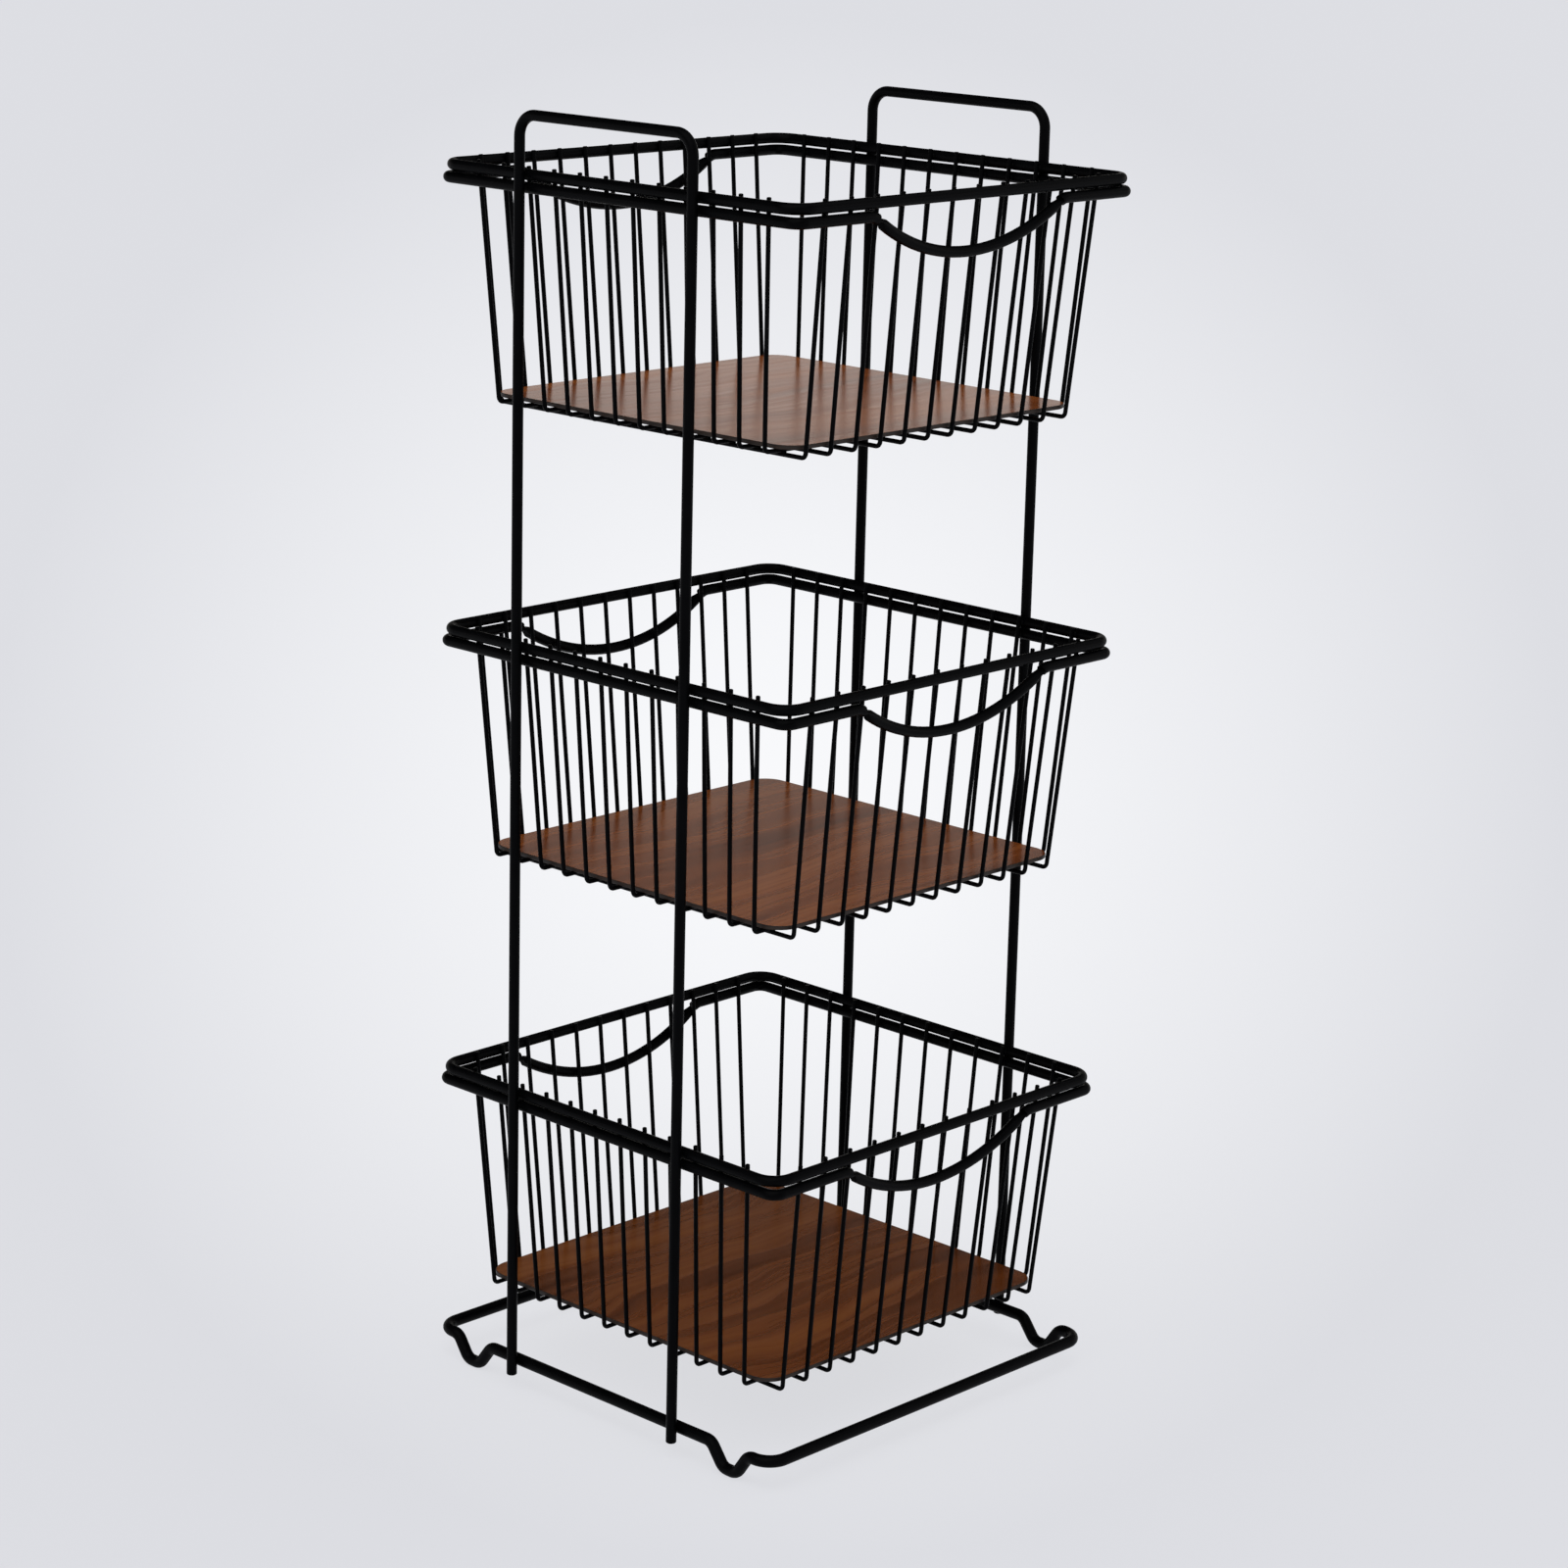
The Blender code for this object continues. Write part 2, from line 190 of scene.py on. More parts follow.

# Studio floor, whose painted pool of light is measured along and across its own direction
BACKDROP_COLOUR = (0.724, 0.731, 0.769)
FLOOR_HALF_SIZE = 60.0
FLOOR_OWN_LIGHT = 0.85
POOL_WAY = (0.725, 0.688, 0)
POOL_SIDE = (0.688, -0.725, 0)
POOL_WIDTH = 0.5
POOL_WIDENING = 0.192
POOL_LEAST_WIDTH = 0.3
POOL_MIDDLE = 1.347
POOL_LENGTH = 1.033
PAINTED_POOL_TONES = (
    (0.0, (0.945, 0.950, 0.968)), (0.23, (0.915, 0.922, 0.945)), (0.63, (0.820, 0.827, 0.858)),
    (0.99, BACKDROP_COLOUR),
)

# What gloss reflects of the studio, by the sine of the height above the horizon, and its even light
REFLECTED_TONES = (
    (0.0, (0.95, 0.94, 0.94)), (0.16, (0.93, 0.90, 0.85)), (0.20, (0.50, 0.47, 0.43)),
    (0.24, (0.17, 0.15, 0.13)), (0.28, (0.05, 0.04, 0.03)), (0.33, (0.004, 0.004, 0.004)),
)
EVEN_LIGHT = (0.5, 0.5, 0.505, 1)

# Each lamp's strength, the angle in degrees that it fills, and its turn in degrees
LAMPS = {
    "key_light": (1.35, 70, (38, 0, -75)),
    "fill_light": (0.75, 90, (42, 0, 40)),
}

# Camera
CAMERA_PLACE = Vector((-1.705183, -1.627929, 0.991867))
CAMERA_YAW = 0.8112602
CAMERA_PITCH = -0.2559788
CAMERA_ROLL = 0.0238677
CAMERA_REACH = 200
SENSOR_WIDTH = 36
FOCAL_PIXELS = 4086.723
IMAGE_PIXELS = 1600


def add_camera():
    ahead = Vector((math.sin(CAMERA_YAW) * math.cos(CAMERA_PITCH),
                    math.cos(CAMERA_YAW) * math.cos(CAMERA_PITCH), math.sin(CAMERA_PITCH)))
    level = Vector((math.cos(CAMERA_YAW), -math.sin(CAMERA_YAW), 0))
    upward = level.cross(ahead)
    right = math.cos(CAMERA_ROLL) * level + math.sin(CAMERA_ROLL) * upward
    up = -math.sin(CAMERA_ROLL) * level + math.cos(CAMERA_ROLL) * upward
    data = bpy.data.cameras.new("view")
    data.sensor_width = SENSOR_WIDTH
    data.lens = SENSOR_WIDTH * FOCAL_PIXELS / IMAGE_PIXELS
    data.clip_end = CAMERA_REACH
    item = bpy.data.objects.new("view", data)
    axes = Matrix((right, up, -ahead)).transposed().to_4x4()
    item.matrix_world = Matrix.Translation(CAMERA_PLACE) @ axes
    bpy.context.scene.collection.objects.link(item)
    bpy.context.scene.camera = item


# Node helpers

def node(tree, kind, **settings):
    """A new node. Keys are its properties, or its inputs where they start with an underscore."""
    item = tree.nodes.new(kind)
    for key, value in settings.items():
        if key.startswith("_"):
            name = key[1:].replace("_", " ")
            socket = item.inputs[int(name)] if name.isdigit() else item.inputs[name]
            if isinstance(value, bpy.types.NodeSocket):
                tree.links.new(value, socket)
            else:
                socket.default_value = value
        else:
            setattr(item, key, value)
    return item


def maths(tree, operation, first, second=0.0, third=0.0):
    return node(tree, "ShaderNodeMath", operation=operation, _0=first, _1=second, _2=third).outputs[0]


def vectors(tree, operation, first, second):
    item = node(tree, "ShaderNodeVectorMath", operation=operation, _0=first, _1=second)
    return item.outputs["Value" if operation == "DOT_PRODUCT" else "Vector"]


def noise(tree, coordinates, scale, detail, roughness=0.5):
    return node(tree, "ShaderNodeTexNoise", _Vector=coordinates, _Scale=scale, _Detail=detail,
                _Roughness=roughness).outputs["Fac"]


def ramp(tree, factor, stops):
    item = node(tree, "ShaderNodeValToRGB", _Fac=factor)
    elements = item.color_ramp.elements
    while len(elements) < len(stops):
        elements.new(0.5)
    for element, (position, colour) in zip(elements, stops):
        element.position = position
        element.color = (*colour, 1)
    return item.outputs["Color"]


def span(tree, value, old, new):
    """The value carried from one range to another, and held inside it."""
    return node(tree, "ShaderNodeMapRange", _0=value, _1=old[0], _2=old[1], _3=new[0], _4=new[1]).outputs[0]


def blend(tree, factor, first, second):
    item = node(tree, "ShaderNodeMix", data_type="RGBA")
    for index, value in ((0, factor), (6, first), (7, second)):
        if isinstance(value, bpy.types.NodeSocket):
            tree.links.new(value, item.inputs[index])
        else:
            item.inputs[index].default_value = value
    return item.outputs[2]


def object_place(tree):
    return node(tree, "ShaderNodeTexCoord").outputs["Object"]


def bump(tree, strength, height):
    item = node(tree, "ShaderNodeBump", _Strength=strength, _Distance=BUMP_DISTANCE, _Height=height)
    return item.outputs["Normal"]


def new_material(name, specular):
    material = bpy.data.materials.new(name)
    material.use_nodes = True
    shader = material.node_tree.nodes["Principled BSDF"]
    shader.inputs["Specular IOR Level"].default_value = specular
    return material, material.node_tree, shader


def connect(tree, shader, **sockets):
    for key, socket in sockets.items():
        tree.links.new(socket, shader.inputs[key.replace("_", " ")])


# Materials

def black_coating():
    """Satin black powder coat: faint orange peel, slight cloudiness in its tone and gloss."""
    material, tree, shader = new_material("black_coating_satin", COATING_SPECULAR)
    place = object_place(tree)
    clouds = noise(tree, place, COATING_CLOUD_SCALE, COATING_CLOUD_DETAIL)
    peel = noise(tree, place, COATING_PEEL_SCALE, COATING_PEEL_DETAIL, COATING_PEEL_ROUGHNESS)
    connect(tree, shader, Base_Color=ramp(tree, clouds, COATING_TONES),
            Roughness=span(tree, clouds, NOISE_LEVELS, COATING_ROUGHNESS),
            Normal=bump(tree, COATING_PEEL_STRENGTH, peel))
    return material


def grain_noise(tree, along, across, scales, seed, detail):
    """Noise drawn out along the grain."""
    place = node(tree, "ShaderNodeCombineXYZ", _X=maths(tree, "MULTIPLY", along, scales[0]),
                 _Y=maths(tree, "MULTIPLY", across, scales[1]), _Z=seed).outputs[0]
    return noise(tree, place, 1.0, detail)


def walnut(tier):
    """Walnut laminate with its grain along X: flame figure, streaks, fine pores and a satin face."""
    # The tier's tones carry painted light and shade, darker for the bottom board
    shift, seed, dark, middle, light = WALNUTS[tier]
    material, tree, shader = new_material(f"walnut_{tier}", WALNUT_SPECULAR)
    place = vectors(tree, "ADD", object_place(tree), shift)
    axes = node(tree, "ShaderNodeSeparateXYZ", _Vector=place)
    along = axes.outputs["X"]
    sway = noise(tree, vectors(tree, "MULTIPLY", place, SWAY_SCALES), 1.0, SWAY_DETAIL)
    across = maths(tree, "MULTIPLY_ADD", sway, SWAY_WIDTH, axes.outputs["Y"])
    flame = grain_noise(tree, along, across, FLAME_SCALES, seed, FIGURE_DETAIL)
    streaks = grain_noise(tree, along, across, STREAK_SCALES, seed, FIGURE_DETAIL)
    pores = grain_noise(tree, along, across, PORE_SCALES, seed, PORE_DETAIL)
    tone = maths(tree, "MULTIPLY_ADD", maths(tree, "SUBTRACT", streaks, 0.5), STREAK_WEIGHT, flame)
    colour = ramp(tree, tone, tuple(zip(TONE_STOPS, (dark, middle, light))))
    pore_mask = span(tree, pores, PORE_LEVELS, (0.0, PORE_DEPTH))
    colour = blend(tree, pore_mask, colour, (*[part * PORE_TONE_SHARE for part in dark], 1))
    height = maths(tree, "MULTIPLY_ADD", pores, PORE_BUMP_WEIGHT, streaks)
    connect(tree, shader, Base_Color=colour, Roughness=span(tree, streaks, NOISE_LEVELS, WALNUT_ROUGHNESS),
            Normal=bump(tree, GRAIN_BUMP_STRENGTH, height))
    return material


def shade_painted_edge():
    """Cut edge of a board, painted dark as shade, with the layers of its core faintly showing."""
    material, tree, shader = new_material("board_edge_painted_shade", EDGE_SPECULAR)
    place = vectors(tree, "MULTIPLY", object_place(tree), EDGE_LAYER_SCALES)
    layers = noise(tree, place, 1.0, EDGE_LAYER_DETAIL)
    connect(tree, shader, Base_Color=ramp(tree, layers, EDGE_TONES),
            Roughness=span(tree, layers, NOISE_LEVELS, EDGE_ROUGHNESS))
    return material


# Meshes

def bend_path(corners, closed=False):
    """Points of a path through corners, each a place, a bend radius and a number of steps."""
    points = []
    for index, (place, radius, steps) in enumerate(corners):
        is_end = not closed and index in (0, len(corners) - 1)
        if is_end or radius == 0:
            points.append(place)
            continue
        back = (corners[index - 1][0] - place).normalized()
        ahead = (corners[(index + 1) % len(corners)][0] - place).normalized()
        turn = math.pi - back.angle(ahead)
        centre = place + (back + ahead).normalized() * radius / math.cos(turn / 2)
        first_arm = place + back * radius * math.tan(turn / 2) - centre
        axis = ahead.cross(back)
        for step in range(steps + 1):
            points.append(centre + Quaternion(axis, turn * step / steps) @ first_arm)
    return points


def path_heads(path, closed):
    """The direction of a path at each of its points."""
    heads = []
    for index, place in enumerate(path):
        ways = []
        if closed or index > 0:
            ways.append((place - path[index - 1]).normalized())
        if closed or index < len(path) - 1:
            ways.append((path[(index + 1) % len(path)] - place).normalized())
        heads.append((ways[0] + ways[-1]).normalized())
    return heads


def carried_sides(heads, closed):
    """A direction square to the path at each point, carried along without twist."""
    sides = [heads[0].orthogonal().normalized()]
    for before, head in zip(heads, heads[1:]):
        side = before.rotation_difference(head) @ sides[-1]
        sides.append((side - head * side.dot(head)).normalized())
    if not closed:
        return sides
    carried = heads[-1].rotation_difference(heads[0]) @ sides[-1]
    slip = math.atan2(carried.cross(sides[0]).dot(heads[0]), carried.dot(sides[0]))
    return [Quaternion(head, slip * index / len(heads)) @ side
            for index, (head, side) in enumerate(zip(heads, sides))]


def chamfered(stations, chamfer):
    """The same rings with the one at each end drawn in, and a full one just inside it."""
    (start, head, out, radius), *between, (end, last_head, last_out, _) = stations
    return [
        (start, head, out, radius - chamfer),
        (start + head * chamfer, head, out, radius),
        *between,
        (end - last_head * chamfer, last_head, last_out, radius),
        (end, last_head, last_out, radius - chamfer),
    ]


def skin(mesh, rings, closed=False, slot=0):
    """Faces from each ring of vertices to the next, and end faces where the rings don't close up."""
    count = len(rings[0])
    pairs = list(zip(rings, rings[1:]))
    if closed:
        pairs.append((rings[-1], rings[0]))
    for first, second in pairs:
        for k in range(count):
            near = (k + 1) % count
            mesh.faces.new((first[k], first[near], second[near], second[k])).material_index = slot
    if not closed:
        mesh.faces.new(list(reversed(rings[0])))
        mesh.faces.new(rings[-1])


def finished_mesh(name, mesh, materials, sharp_angle):
    data = bpy.data.meshes.new(name)
    bmesh.ops.recalc_face_normals(mesh, faces=mesh.faces)
    mesh.to_mesh(data)
    mesh.free()
    for material in materials:
        data.materials.append(material)
    data.shade_smooth()
    data.set_sharp_from_angle(angle=math.radians(sharp_angle))
    return data


def rod_mesh(name, path, radius, sides, material, closed=False, chamfer=0.0):
    """A round rod along a path."""
    heads = path_heads(path, closed)
    places = zip(path, heads, carried_sides(heads, closed))
    stations = [(place, head, out, radius) for place, head, out in places]
    if chamfer:
        stations = chamfered(stations, chamfer)
    angles = [2 * math.pi * k / sides for k in range(sides)]
    mesh = bmesh.new()
    rings = []
    for place, head, out, size in stations:
        other = head.cross(out)
        rings.append([mesh.verts.new(place + size * (math.cos(angle) * out + math.sin(angle) * other))
                      for angle in angles])
    skin(mesh, rings, closed)
    return finished_mesh(name, mesh, [material], ROD_SHARP_ANGLE)


def board_mesh(name, wood, edge):
    """Flat board with rounded corners and softened edges; its sides take the edge, painted dark as shade.
    """
    outline = bend_path(rounded_rectangle(BOARD_HALF_WIDTH, BOARD_HALF_DEPTH, BOARD_CORNER_RADIUS), True)
    half, soft = BOARD_THICKNESS / 2, BOARD_EDGE_SOFTNESS
    mesh = bmesh.new()
    rings = []
    for inset, height in ((soft, -half), (0, soft - half), (0, half - soft), (soft, half)):
        narrow, short = 1 - inset / BOARD_HALF_WIDTH, 1 - inset / BOARD_HALF_DEPTH
        rings.append([mesh.verts.new((p.x * narrow, p.y * short, height)) for p in outline])
    skin(mesh, rings, slot=1)
    return finished_mesh(name, mesh, [wood, edge], BOARD_SHARP_ANGLE)


def weld_mesh(name, spots, material):
    """Small flattened nuggets, each (place, long axis, across axis, half sizes), slightly uneven."""
    chance = random.Random(WELD_SEED)
    mesh = bmesh.new()
    for place, long_axis, across, sizes in spots:
        third = long_axis.cross(across).normalized()
        across = third.cross(long_axis).normalized()
        turn = Matrix((long_axis.normalized(), across, third)).transposed().to_4x4()
        grown = [size * chance.uniform(*WELD_SIZE_RANGE) for size in sizes]
        matrix = Matrix.Translation(place) @ turn @ Matrix.Diagonal((*grown, 1))
        made = bmesh.ops.create_icosphere(mesh, subdivisions=WELD_SUBDIVISIONS, radius=1.0, matrix=matrix)
        for vert in made["verts"]:
            vert.co = place + (vert.co - place) * chance.uniform(*WELD_BUMP_RANGE)
    return finished_mesh(name, mesh, [material], WELD_SHARP_ANGLE)


# Paths of the rods and wires

def rounded_rectangle(half_width, half_depth, radius):
    signs = ((-1, -1), (1, -1), (1, 1), (-1, 1))
    return [(Vector((x * half_width, y * half_depth, 0)), radius, BIG_BEND_STEPS) for x, y in signs]


def reach_inside(outline, offset, inset):
    """How far +X a point at this Y offset can go and stay the inset away from a convex outline."""
    reaches = []
    for start, end in zip(outline, outline[1:] + outline[:1]):
        side = end - start
        normal = Vector((side.y, -side.x)).normalized()
        if normal.x > LEAST_NORMAL_X:
            limit = normal.dot(start.xy) - inset - normal.y * offset
            reaches.append(limit / normal.x)
    return min(reaches)


def wall_lean(rim_wire, floor_wire, floor_height):
    """Outward run of a wall for each metre of its height."""
    return (rim_wire - floor_wire) / -floor_height


def wire_path(rim_wire, rim_offset, floor_wire, floor_offset, floor_height):
    """U-shaped wire across a basket from tip to tip, whose two arms spread along Y toward the rim."""
    tip_wire = rim_wire + WIRE_TIP * wall_lean(rim_wire, floor_wire, floor_height)
    tip_offset = rim_offset + WIRE_TIP * wall_lean(rim_offset, floor_offset, floor_height)
    return bend_path([
        (Vector((-tip_wire, tip_offset, WIRE_TIP)), 0, 0),
        (Vector((-floor_wire, floor_offset, floor_height)), WIRE_BEND_RADIUS, SMALL_BEND_STEPS),
        (Vector((floor_wire, floor_offset, floor_height)), WIRE_BEND_RADIUS, SMALL_BEND_STEPS),
        (Vector((tip_wire, tip_offset, WIRE_TIP)), 0, 0),
    ])


def wire_offsets(rim_half, floor_half):
    """Offsets of each wire at the rim and at the floor, where the wires stand closer together."""
    outer_at_rim = rim_half - RIM_WIRE_INSET
    outer_at_floor = floor_half - FLOOR_WIRE_INSET
    spread = [2 * index / (WIRE_COUNT - 1) - 1 for index in range(WIRE_COUNT)]
    return [(outer_at_rim * share, outer_at_floor * share) for share in spread]


def turned(points):
    """The same points with X and Y swapped, for pieces that run front to back."""
    return [Vector((point.y, point.x, point.z)) for point in points]


def upper_rim_path():
    return bend_path(rounded_rectangle(RIM_HALF_WIDTH, RIM_HALF_DEPTH, RIM_CORNER_RADIUS), True)


def lower_rim_places():
    """The lower rim's half width, and a function that gives the places on its front side."""
    side_lean = wall_lean(RIM_HALF_WIDTH - LOOSE_OFFSET, FLOOR_HALF_WIDTH, CROSS_WIRE_FLOOR)
    front_lean = wall_lean(RIM_HALF_DEPTH - WELDED_OFFSET, FLOOR_HALF_DEPTH, LONG_WIRE_FLOOR)
    side_offset = LOOSE_OFFSET * math.hypot(1, side_lean)
    front_offset = LOOSE_OFFSET * math.hypot(1, front_lean)
    half_width = RIM_HALF_WIDTH - LOOSE_OFFSET - RIM_SPACING * side_lean + side_offset

    def front_place(x, drop):
        depth = RIM_HALF_DEPTH - WELDED_OFFSET - (RIM_SPACING + drop) * front_lean + front_offset
        return Vector((x, -depth, -RIM_SPACING - drop))

    return half_width, front_place


def dip_arc(half_width):
    """Half the width of the lower rim's dip, and the radius of its long arc."""
    end_x = half_width - DIP_INSET
    return end_x, (end_x ** 2 / DIP_DEPTH + DIP_DEPTH) / 2 - DIP_END_RADIUS


def dip_drop(x, end_x, arc_radius):
    """How far the dip's long arc lies below the level parts of the lower rim."""
    if x >= end_x:
        return 0.0
    return max(math.sqrt(max(arc_radius ** 2 - x ** 2, 0)) - (arc_radius - DIP_DEPTH), 0.0)


def lower_rim_path():
    half_width, front_place = lower_rim_places()
    end_x, arc_radius = dip_arc(half_width)
    slope = math.asin(end_x / (arc_radius + DIP_END_RADIUS))
    shoulder_x = end_x - DIP_END_RADIUS * math.tan(slope / 2)
    vertex_drop = shoulder_x * math.tan(slope)
    front_half = [
        (front_place(-half_width, 0), LOWER_RIM_CORNER_RADIUS, BIG_BEND_STEPS),
        (front_place(-shoulder_x, 0), DIP_END_RADIUS, SMALL_BEND_STEPS),
        (front_place(0, vertex_drop), arc_radius, DIP_STEPS),
        (front_place(shoulder_x, 0), DIP_END_RADIUS, SMALL_BEND_STEPS),
        (front_place(half_width, 0), LOWER_RIM_CORNER_RADIUS, BIG_BEND_STEPS),
    ]
    back_half = [(Vector((-place.x, -place.y, place.z)), *bend) for place, *bend in front_half]
    return bend_path(front_half + back_half, True)


def cross_wire_paths():
    """Wires from hoop side to hoop side, the upper layer of a basket's floor."""
    outline = upper_rim_path()
    paths = []
    for rim_y, floor_y in wire_offsets(RIM_HALF_DEPTH, FLOOR_HALF_DEPTH):
        rim_wire = reach_inside(outline, rim_y, LOOSE_OFFSET)
        paths.append(wire_path(rim_wire, rim_y, FLOOR_HALF_WIDTH, floor_y, CROSS_WIRE_FLOOR))
    return paths


def long_wire_paths():
    """Wires from front to back, the lower layer."""
    outline = turned(upper_rim_path())
    outline.reverse()
    paths = []
    for rim_x, floor_x in wire_offsets(RIM_HALF_WIDTH, FLOOR_HALF_WIDTH):
        rim_wire = reach_inside(outline, rim_x, WELDED_OFFSET)
        paths.append(turned(wire_path(rim_wire, rim_x, FLOOR_HALF_DEPTH, floor_x, LONG_WIRE_FLOOR)))
    return paths


def hoop_path():
    return bend_path([
        (Vector((0, -POST_Y, POST_END_HEIGHT)), 0, 0),
        (Vector((0, -POST_Y, TOP_BAR_HEIGHT)), HOOP_CORNER_RADIUS, BIG_BEND_STEPS),
        (Vector((0, POST_Y, TOP_BAR_HEIGHT)), HOOP_CORNER_RADIUS, BIG_BEND_STEPS),
        (Vector((0, POST_Y, POST_END_HEIGHT)), 0, 0),
    ])


def base_path():
    """Rounded rectangle whose two hoop sides each bend down to two feet."""
    drop = BASE_HEIGHT - BASE_ROD_RADIUS
    outer_bend = FOOT_BEND_RADIUS * math.tan(math.atan(drop / FOOT_OUTER_RUN) / 2)
    inner_bend = FOOT_BEND_RADIUS * math.tan(math.atan(drop / FOOT_INNER_RUN) / 2)
    foot_end_y = BASE_HALF_DEPTH - BASE_CORNER_RADIUS - FOOT_STRAIGHT - outer_bend
    foot_outer_y = foot_end_y - FOOT_OUTER_RUN
    foot_inner_y = foot_outer_y - outer_bend - 2 * FOOT_STRAIGHT - FOOT_FLAT_LENGTH - inner_bend
    profile = [
        (foot_end_y, BASE_HEIGHT),
        (foot_outer_y, BASE_ROD_RADIUS),
        (foot_inner_y, BASE_ROD_RADIUS),
        (foot_inner_y - FOOT_INNER_RUN, BASE_HEIGHT),
    ]
    profile += [(-y, height) for y, height in reversed(profile)]
    half_depth = BASE_HALF_DEPTH - BASE_DEPTH_TRIM
    ring = []
    for sign in (1, -1):
        x = sign * BASE_HALF_WIDTH
        ring.append((Vector((x, -sign * half_depth, BASE_HEIGHT)), BASE_CORNER_RADIUS, BIG_BEND_STEPS))
        for y, height in profile:
            ring.append((Vector((x, -sign * y, height)), FOOT_BEND_RADIUS, SMALL_BEND_STEPS))
        ring.append((Vector((x, sign * half_depth, BASE_HEIGHT)), BASE_CORNER_RADIUS, BIG_BEND_STEPS))
    return bend_path(ring, True)


# Weld spots

def point_at_height(path, height, from_end=False):
    """The place and direction where a path first crosses a height."""
    run = list(reversed(path)) if from_end else path
    for start, end in zip(run, run[1:]):
        low, high = sorted((start.z, end.z))
        if low <= height <= high and high > low:
            share = (height - start.z) / (end.z - start.z)
            return start.lerp(end, share), (end - start).normalized()
    return run[0], (run[1] - run[0]).normalized()


def rim_weld(path, height, from_end, outward_axis, rim_axis):
    """Weld spot of a wire on a rim at this height, outward of the wire's centre line."""
    place, head = point_at_height(path, height, from_end)
    outward = outward_axis * math.copysign(1, place.dot(outward_axis))
    return place + outward * LOOSE_OFFSET * WELD_OUTWARD_SHARE, rim_axis, head, RIM_WELD_HALF_SIZES


def basket_welds(cross_paths, long_paths):
    """Weld spots of one basket: wires on both rims, and the two floor layers where they cross."""
    spots = []
    end_x, arc_radius = dip_arc(lower_rim_places()[0])
    for path in cross_paths:
        for from_end in (False, True):
            for height in (0.0, -RIM_SPACING):
                spots.append(rim_weld(path, height, from_end, AXIS_X, AXIS_Y))
    for path in long_paths:
        for from_end in (False, True):
            place = point_at_height(path, 0.0, from_end)[0]
            drop = dip_drop(abs(place.x), end_x, arc_radius)
            for height in (0.0, -RIM_SPACING - drop):
                spots.append(rim_weld(path, height, from_end, AXIS_Y, AXIS_X))
    middle = (LONG_WIRE_FLOOR + CROSS_WIRE_FLOOR) / 2
    for cross in cross_paths:
        for long in long_paths:
            place = Vector((long[len(long) // 2].x, cross[len(cross) // 2].y, middle))
            spots.append((place, AXIS_X, AXIS_Y, CROSSING_WELD_HALF_SIZES))
    return spots


# Pieces

def add_piece(name, data, body, height=0.0, x=0.0, nodes=()):
    item = bpy.data.objects.new(name, data)
    item.location = (x, 0, height)
    bpy.context.scene.collection.objects.link(item)
    bpy.context.view_layer.update()
    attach(item, body)
    if nodes:
        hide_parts(*nodes)


def add_rod(name, data, nodes=(), height=0.0, x=0.0):
    add_piece(name, data, "frame", height, x, nodes)


def wire_meshes(kind, paths, coating):
    """The round wires of one layer of a basket, which all three tiers share."""
    meshes = []
    for number, path in enumerate(paths, 1):
        name = f"{kind}_wire_{number:02d}"
        meshes.append(rod_mesh(name, path, WIRE_RADIUS, WIRE_SIDES, coating, chamfer=WIRE_CHAMFER))
    return meshes


def build_rack():
    coating = black_coating()
    edge = shade_painted_edge()
    base = rod_mesh("base_ring_rod", base_path(), BASE_ROD_RADIUS, ROD_SIDES, coating, True)
    add_rod("base_ring_rod", base, ["base_ring"])
    hoop = rod_mesh("hoop_rod", hoop_path(), ROD_RADIUS, ROD_SIDES, coating, chamfer=HOOP_CHAMFER)
    for side, x in (("left", -HOOP_X), ("right", HOOP_X)):
        add_rod(f"{side}_hoop_rod", hoop, [f"{side}_hoop"], x=x)
    rim = rod_mesh("upper_rim_rod", upper_rim_path(), RIM_RADIUS, ROD_SIDES, coating, True)
    lower_rim = rod_mesh("lower_rim_rod", lower_rim_path(), RIM_RADIUS, ROD_SIDES, coating, True)
    cross_paths = cross_wire_paths()
    long_paths = long_wire_paths()
    cross_wires = wire_meshes("cross", cross_paths, coating)
    long_wires = wire_meshes("long", long_paths, coating)
    welds = weld_mesh("basket_weld_spots", basket_welds(cross_paths, long_paths), coating)
    for tier, name in enumerate(TIERS):
        height = BOTTOM_RIM_HEIGHT + tier * TIER_PITCH
        basket_node = f"{name}_upper_rim_and_long_wires"
        add_rod(f"{name}_upper_rim_rod", rim, [basket_node], height)
        add_rod(f"{name}_lower_rim_rod", lower_rim, [f"{name}_lower_rim"], height)
        for number, (cross, long) in enumerate(zip(cross_wires, long_wires), 1):
            cross_node = f"{name}_cross_wire_{number:02d}"
            add_rod(f"{name}_cross_wire_round_{number:02d}", cross, [cross_node], height)
            add_rod(f"{name}_long_wire_round_{number:02d}", long, [basket_node], height)
        add_rod(f"{name}_weld_spots", welds, height=height)
        low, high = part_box(f"{name}_board")
        board = board_mesh(f"{name}_board_panel", walnut(name), edge)
        add_piece(f"{name}_board_panel", board, f"{name}_board", (low[2] + high[2]) / 2,
                  nodes=[f"{name}_board"])


# Studio

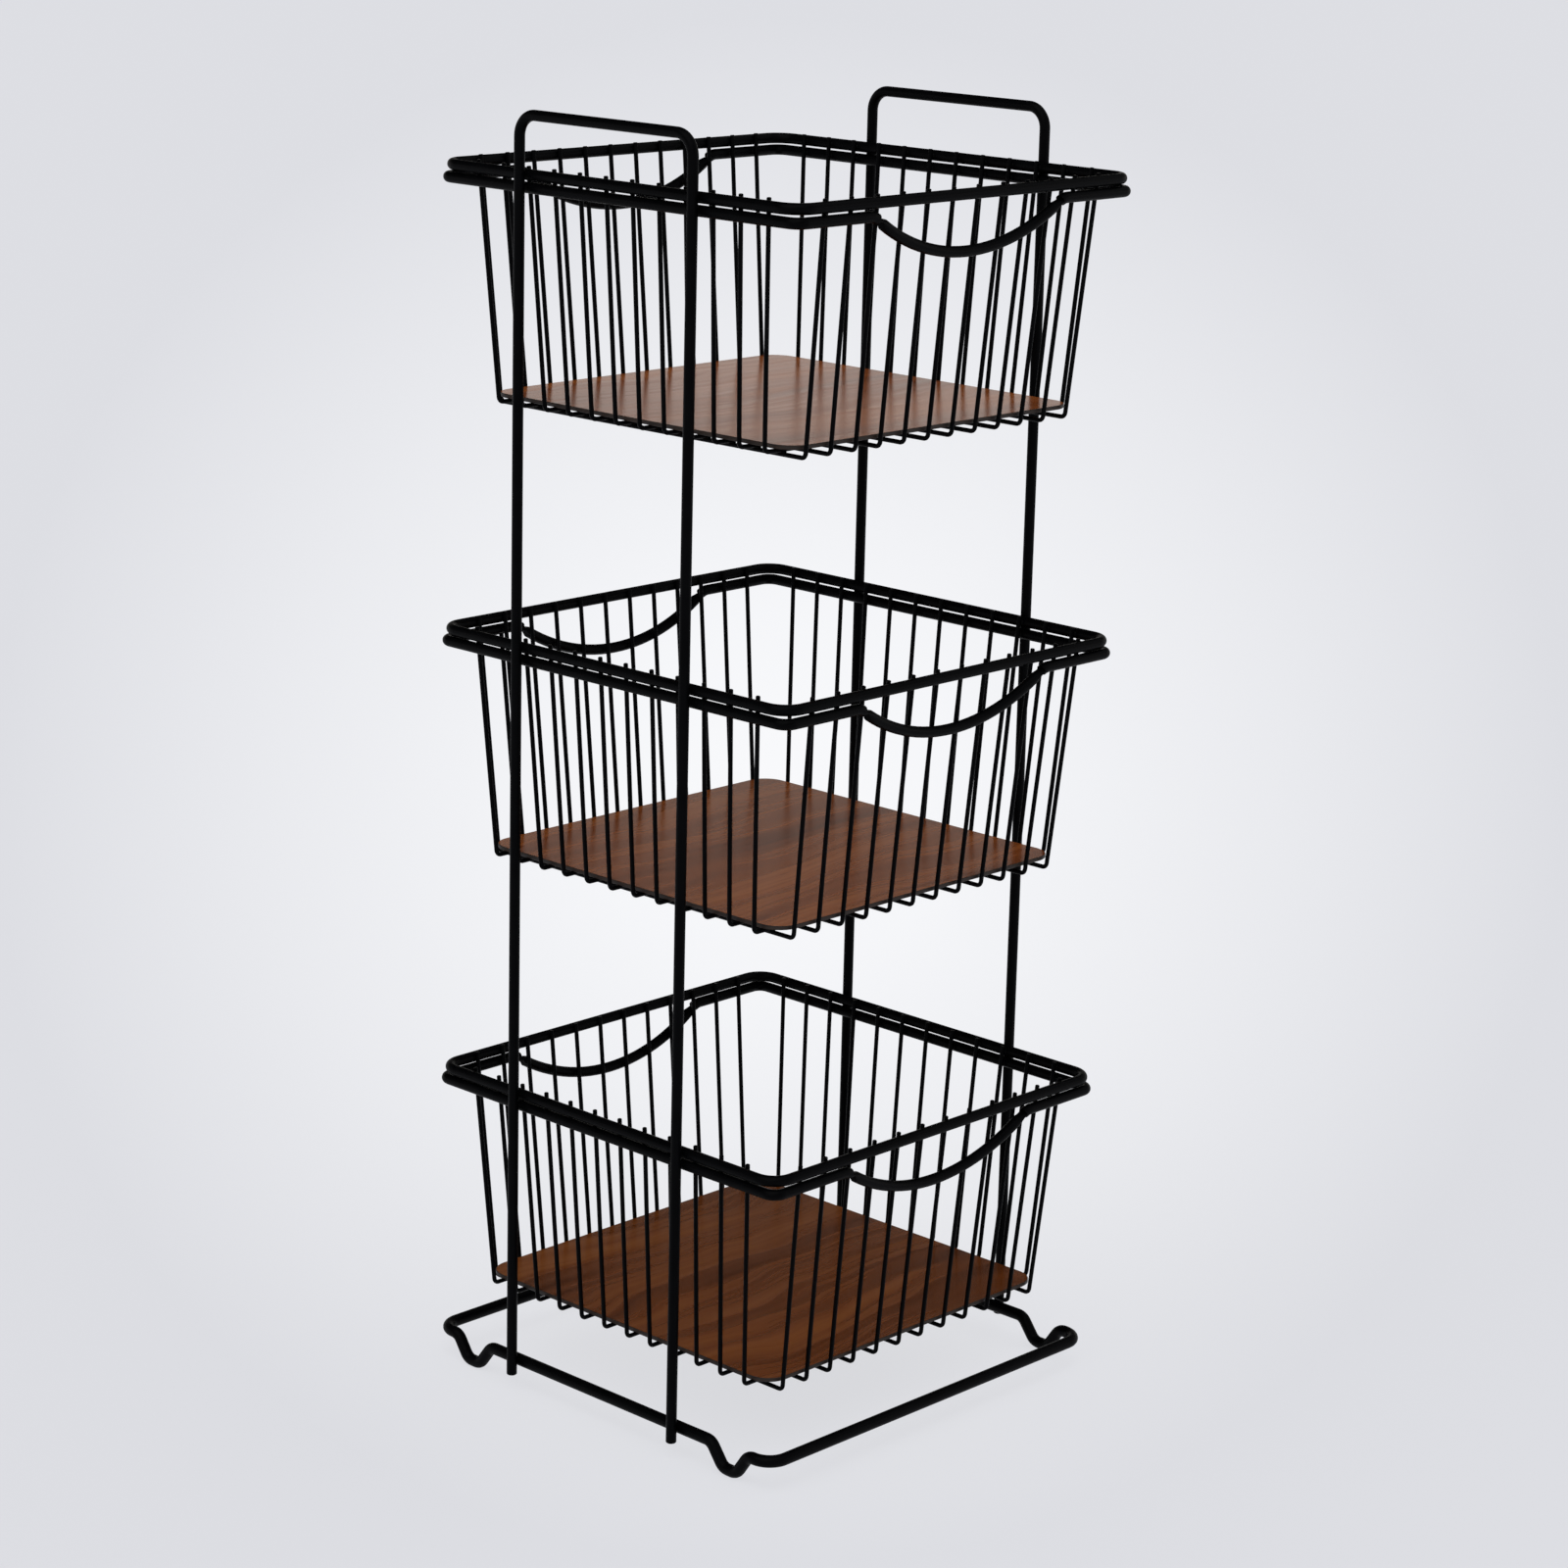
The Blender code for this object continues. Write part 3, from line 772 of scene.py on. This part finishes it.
def add_floor():
    """Pale floor with a soft painted pool of light, which starts under the rack and widens behind it.

    What the camera and reflections see is mostly the floor's own colour, so the shadow on it is faint.
    """
    material, tree, shader = new_material("studio_floor", 0.0)
    place = node(tree, "ShaderNodeNewGeometry").outputs["Position"]
    behind = vectors(tree, "DOT_PRODUCT", place, POOL_WAY)
    beside = vectors(tree, "DOT_PRODUCT", place, POOL_SIDE)
    width = maths(tree, "MULTIPLY_ADD", behind, POOL_WIDENING, POOL_WIDTH)
    width = maths(tree, "MAXIMUM", width, POOL_LEAST_WIDTH)
    sideways = maths(tree, "DIVIDE", beside, width)
    lengthways = maths(tree, "SUBTRACT", POOL_MIDDLE, maths(tree, "DIVIDE", POOL_LENGTH, width))
    away = maths(tree, "SQRT", maths(tree, "ADD", maths(tree, "MULTIPLY", sideways, sideways),
                                     maths(tree, "MULTIPLY", lengthways, lengthways)))
    # Painted light: the floor's colour is brightest in the pool's middle and fades to the backdrop's grey
    colour = ramp(tree, away, PAINTED_POOL_TONES)
    rays = node(tree, "ShaderNodeLightPath")
    seen = maths(tree, "MAXIMUM", rays.outputs["Is Camera Ray"], rays.outputs["Is Glossy Ray"])
    seen = maths(tree, "MAXIMUM", seen, rays.outputs["Is Transmission Ray"])
    shader.inputs["Roughness"].default_value = 1.0
    lit_share = blend(tree, FLOOR_OWN_LIGHT, colour, (0, 0, 0, 1))
    connect(tree, shader, Base_Color=blend(tree, seen, colour, lit_share), Emission_Color=colour,
            Emission_Strength=maths(tree, "MULTIPLY", seen, FLOOR_OWN_LIGHT))
    mesh = bmesh.new()
    bmesh.ops.create_grid(mesh, x_segments=1, y_segments=1, size=FLOOR_HALF_SIZE)
    data = bpy.data.meshes.new("studio_floor")
    mesh.to_mesh(data)
    mesh.free()
    data.materials.append(material)
    floor = bpy.data.objects.new("studio_floor", data)
    bpy.context.scene.collection.objects.link(floor)


def add_world():
    """The backdrop's colour for the camera, a pale wall under a dark ceiling for gloss, and even light."""
    world = bpy.data.worlds.new("studio")
    world.use_nodes = True
    bpy.context.scene.world = world
    tree = world.node_tree
    background = tree.nodes["Background"]
    rays = node(tree, "ShaderNodeLightPath")
    seen = maths(tree, "MAXIMUM", rays.outputs["Is Camera Ray"], rays.outputs["Is Transmission Ray"])
    place = node(tree, "ShaderNodeTexCoord").outputs["Generated"]
    rise = node(tree, "ShaderNodeSeparateXYZ", _Vector=place).outputs["Z"]
    lit = blend(tree, rays.outputs["Is Glossy Ray"], EVEN_LIGHT, ramp(tree, rise, REFLECTED_TONES))
    tree.links.new(blend(tree, seen, lit, (*BACKDROP_COLOUR, 1)), background.inputs["Color"])
    background.inputs["Strength"].default_value = 1.0


def add_lights():
    for name, (energy, angle, turn) in LAMPS.items():
        lamp = bpy.data.lights.new(name, "SUN")
        lamp.energy = energy
        lamp.angle = math.radians(angle)
        item = bpy.data.objects.new(name, lamp)
        item.rotation_euler = [math.radians(part) for part in turn]
        bpy.context.scene.collection.objects.link(item)


add_camera()
build_rack()
add_floor()
add_world()
add_lights()
bpy.context.scene.view_settings.view_transform = "Standard"
